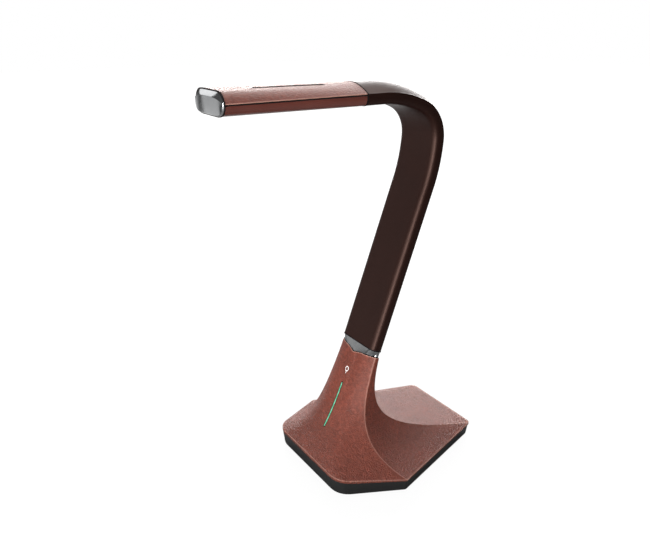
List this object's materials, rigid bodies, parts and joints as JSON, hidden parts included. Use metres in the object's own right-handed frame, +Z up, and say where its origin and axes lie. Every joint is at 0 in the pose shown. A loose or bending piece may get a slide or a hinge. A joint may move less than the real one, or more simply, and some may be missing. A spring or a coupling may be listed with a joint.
{
  "type": "desk lamp",
  "caption": "Desk lamp with a weighted hexagonal leather-covered base that flares up into a neck, a flat flexible arm and a level flat lamp head.",
  "frame": {"origin": "centre of the base's length and width, on the desk", "axes": "+Z up, the head reaches towards -Y, +X is to the lamp's left when the head points at you"},
  "size_m": [0.1794, 0.2824, 0.3987],
  "materials": {
    "black_band": "fine moulded satin",
    "pad_rubber": "matt",
    "ballast_iron": "raw cast, painted grey",
    "shell_plastic": "moulded",
    "brown_leather": "reddish brown, fine grain, slight sheen",
    "screw_steel": "zinc plated",
    "satin_silver": "satin",
    "bracket_steel": "rolled",
    "socket_black": "moulded",
    "lead_grey": "flat twin cable",
    "board_green": "solder resist",
    "strip_teal": "lit light guide",
    "mark_white": "printed",
    "link_alloy": "die cast",
    "pin_steel": "ground",
    "sleeve_brown": "very dark brown silicone, soft sheen",
    "housing_brown": "dark brown gloss",
    "trim_black": "matt",
    "diffuser_opal": "opal",
    "reflector_white": "white",
    "board_white": "white solder resist",
    "lamp_yellow": "phosphor",
    "spreader_alloy": "rolled"
  },
  "bodies": {
    "base": {"base_tray": "black_band", "base_pad": "pad_rubber", "ballast_plate": "ballast_iron", "base_cover": "shell_plastic", "base_leather": "brown_leather", "base_screws": "screw_steel", "neck_collar": "satin_silver", "neck_bracket": "bracket_steel", "bracket_screws": "screw_steel", "dc_socket": "socket_black", "socket_lead": "lead_grey", "control_board": "board_green", "board_screws": "screw_steel", "touch_board": "board_green", "strip_light_guide": "strip_teal", "touch_mark": "mark_white", "spine_foot": "link_alloy", "arm_lead": "lead_grey"},
    "link_1": {"spine_link_1": "link_alloy", "hinge_pin_1": "pin_steel", "arm_sleeve_1": "sleeve_brown"},
    "link_2": {"spine_link_2": "link_alloy", "hinge_pin_2": "pin_steel", "arm_sleeve_2": "sleeve_brown"},
    "link_3": {"spine_link_3": "link_alloy", "hinge_pin_3": "pin_steel", "arm_sleeve_3": "sleeve_brown"},
    "link_4": {"spine_link_4": "link_alloy", "hinge_pin_4": "pin_steel", "arm_sleeve_4": "sleeve_brown"},
    "link_5": {"spine_link_5": "link_alloy", "hinge_pin_5": "pin_steel", "arm_sleeve_5": "sleeve_brown"},
    "link_6": {"spine_link_6": "link_alloy", "hinge_pin_6": "pin_steel", "arm_sleeve_6": "sleeve_brown"},
    "link_7": {"spine_link_7": "link_alloy", "hinge_pin_7": "pin_steel", "arm_sleeve_7": "sleeve_brown"},
    "head": {"spine_tip": "link_alloy", "hinge_pin_8": "pin_steel", "arm_sleeve_8": "sleeve_brown", "head_housing": "housing_brown", "head_cover": "shell_plastic", "head_leather": "brown_leather", "slot_trim": "trim_black", "end_cap": "satin_silver", "diffuser": "diffuser_opal", "reflector_frame": "reflector_white", "led_board": "board_white", "led_lamps": "lamp_yellow", "heat_spreader": "spreader_alloy", "head_screws": "screw_steel", "head_clamp": "socket_black", "clamp_screws": "screw_steel"}
  },
  "joints": [
    {"name": "bend_1", "type": "hinge", "parent": "base", "child": "link_1", "pos_m": [0, -0.01026, 0.16828], "axis": [1, 0, 0], "range_deg": [-10, 10], "deforming": ["arm_sleeve_1", "arm_lead"]},
    {"name": "bend_2", "type": "hinge", "parent": "link_1", "child": "link_2", "pos_m": [0, 0.00752, 0.21714], "axis": [1, 0, 0], "range_deg": [-10, 10], "deforming": ["arm_sleeve_2"]},
    {"name": "bend_3", "type": "hinge", "parent": "link_2", "child": "link_3", "pos_m": [0, 0.02531, 0.266], "axis": [1, 0, 0], "range_deg": [-10, 10], "deforming": ["arm_sleeve_3"]},
    {"name": "bend_4", "type": "hinge", "parent": "link_3", "child": "link_4", "pos_m": [0, 0.04023, 0.30923], "axis": [1, 0, 0], "range_deg": [-12, 8], "deforming": ["arm_sleeve_4"]},
    {"name": "bend_5", "type": "hinge", "parent": "link_4", "child": "link_5", "pos_m": [0, 0.04487, 0.33711], "axis": [1, 0, 0], "range_deg": [-12, 8], "deforming": ["arm_sleeve_5"]},
    {"name": "bend_6", "type": "hinge", "parent": "link_5", "child": "link_6", "pos_m": [0, 0.03892, 0.36292], "axis": [1, 0, 0], "range_deg": [-12, 8], "deforming": ["arm_sleeve_6"]},
    {"name": "bend_7", "type": "hinge", "parent": "link_6", "child": "link_7", "pos_m": [0, 0.01758, 0.37884], "axis": [1, 0, 0], "range_deg": [-12, 8], "deforming": ["arm_sleeve_7"]},
    {"name": "bend_8", "type": "hinge", "parent": "link_7", "child": "head", "pos_m": [0, -0.00962, 0.38581], "axis": [1, 0, 0], "range_deg": [-12, 8], "deforming": ["arm_sleeve_8"]}
  ],
  "couplings": [
    {"joint": "bend_2", "follows": "bend_1", "ratio": 1},
    {"joint": "bend_3", "follows": "bend_1", "ratio": 1},
    {"joint": "bend_5", "follows": "bend_4", "ratio": 1},
    {"joint": "bend_6", "follows": "bend_4", "ratio": 1},
    {"joint": "bend_7", "follows": "bend_4", "ratio": 1},
    {"joint": "bend_8", "follows": "bend_4", "ratio": 1}
  ]
}
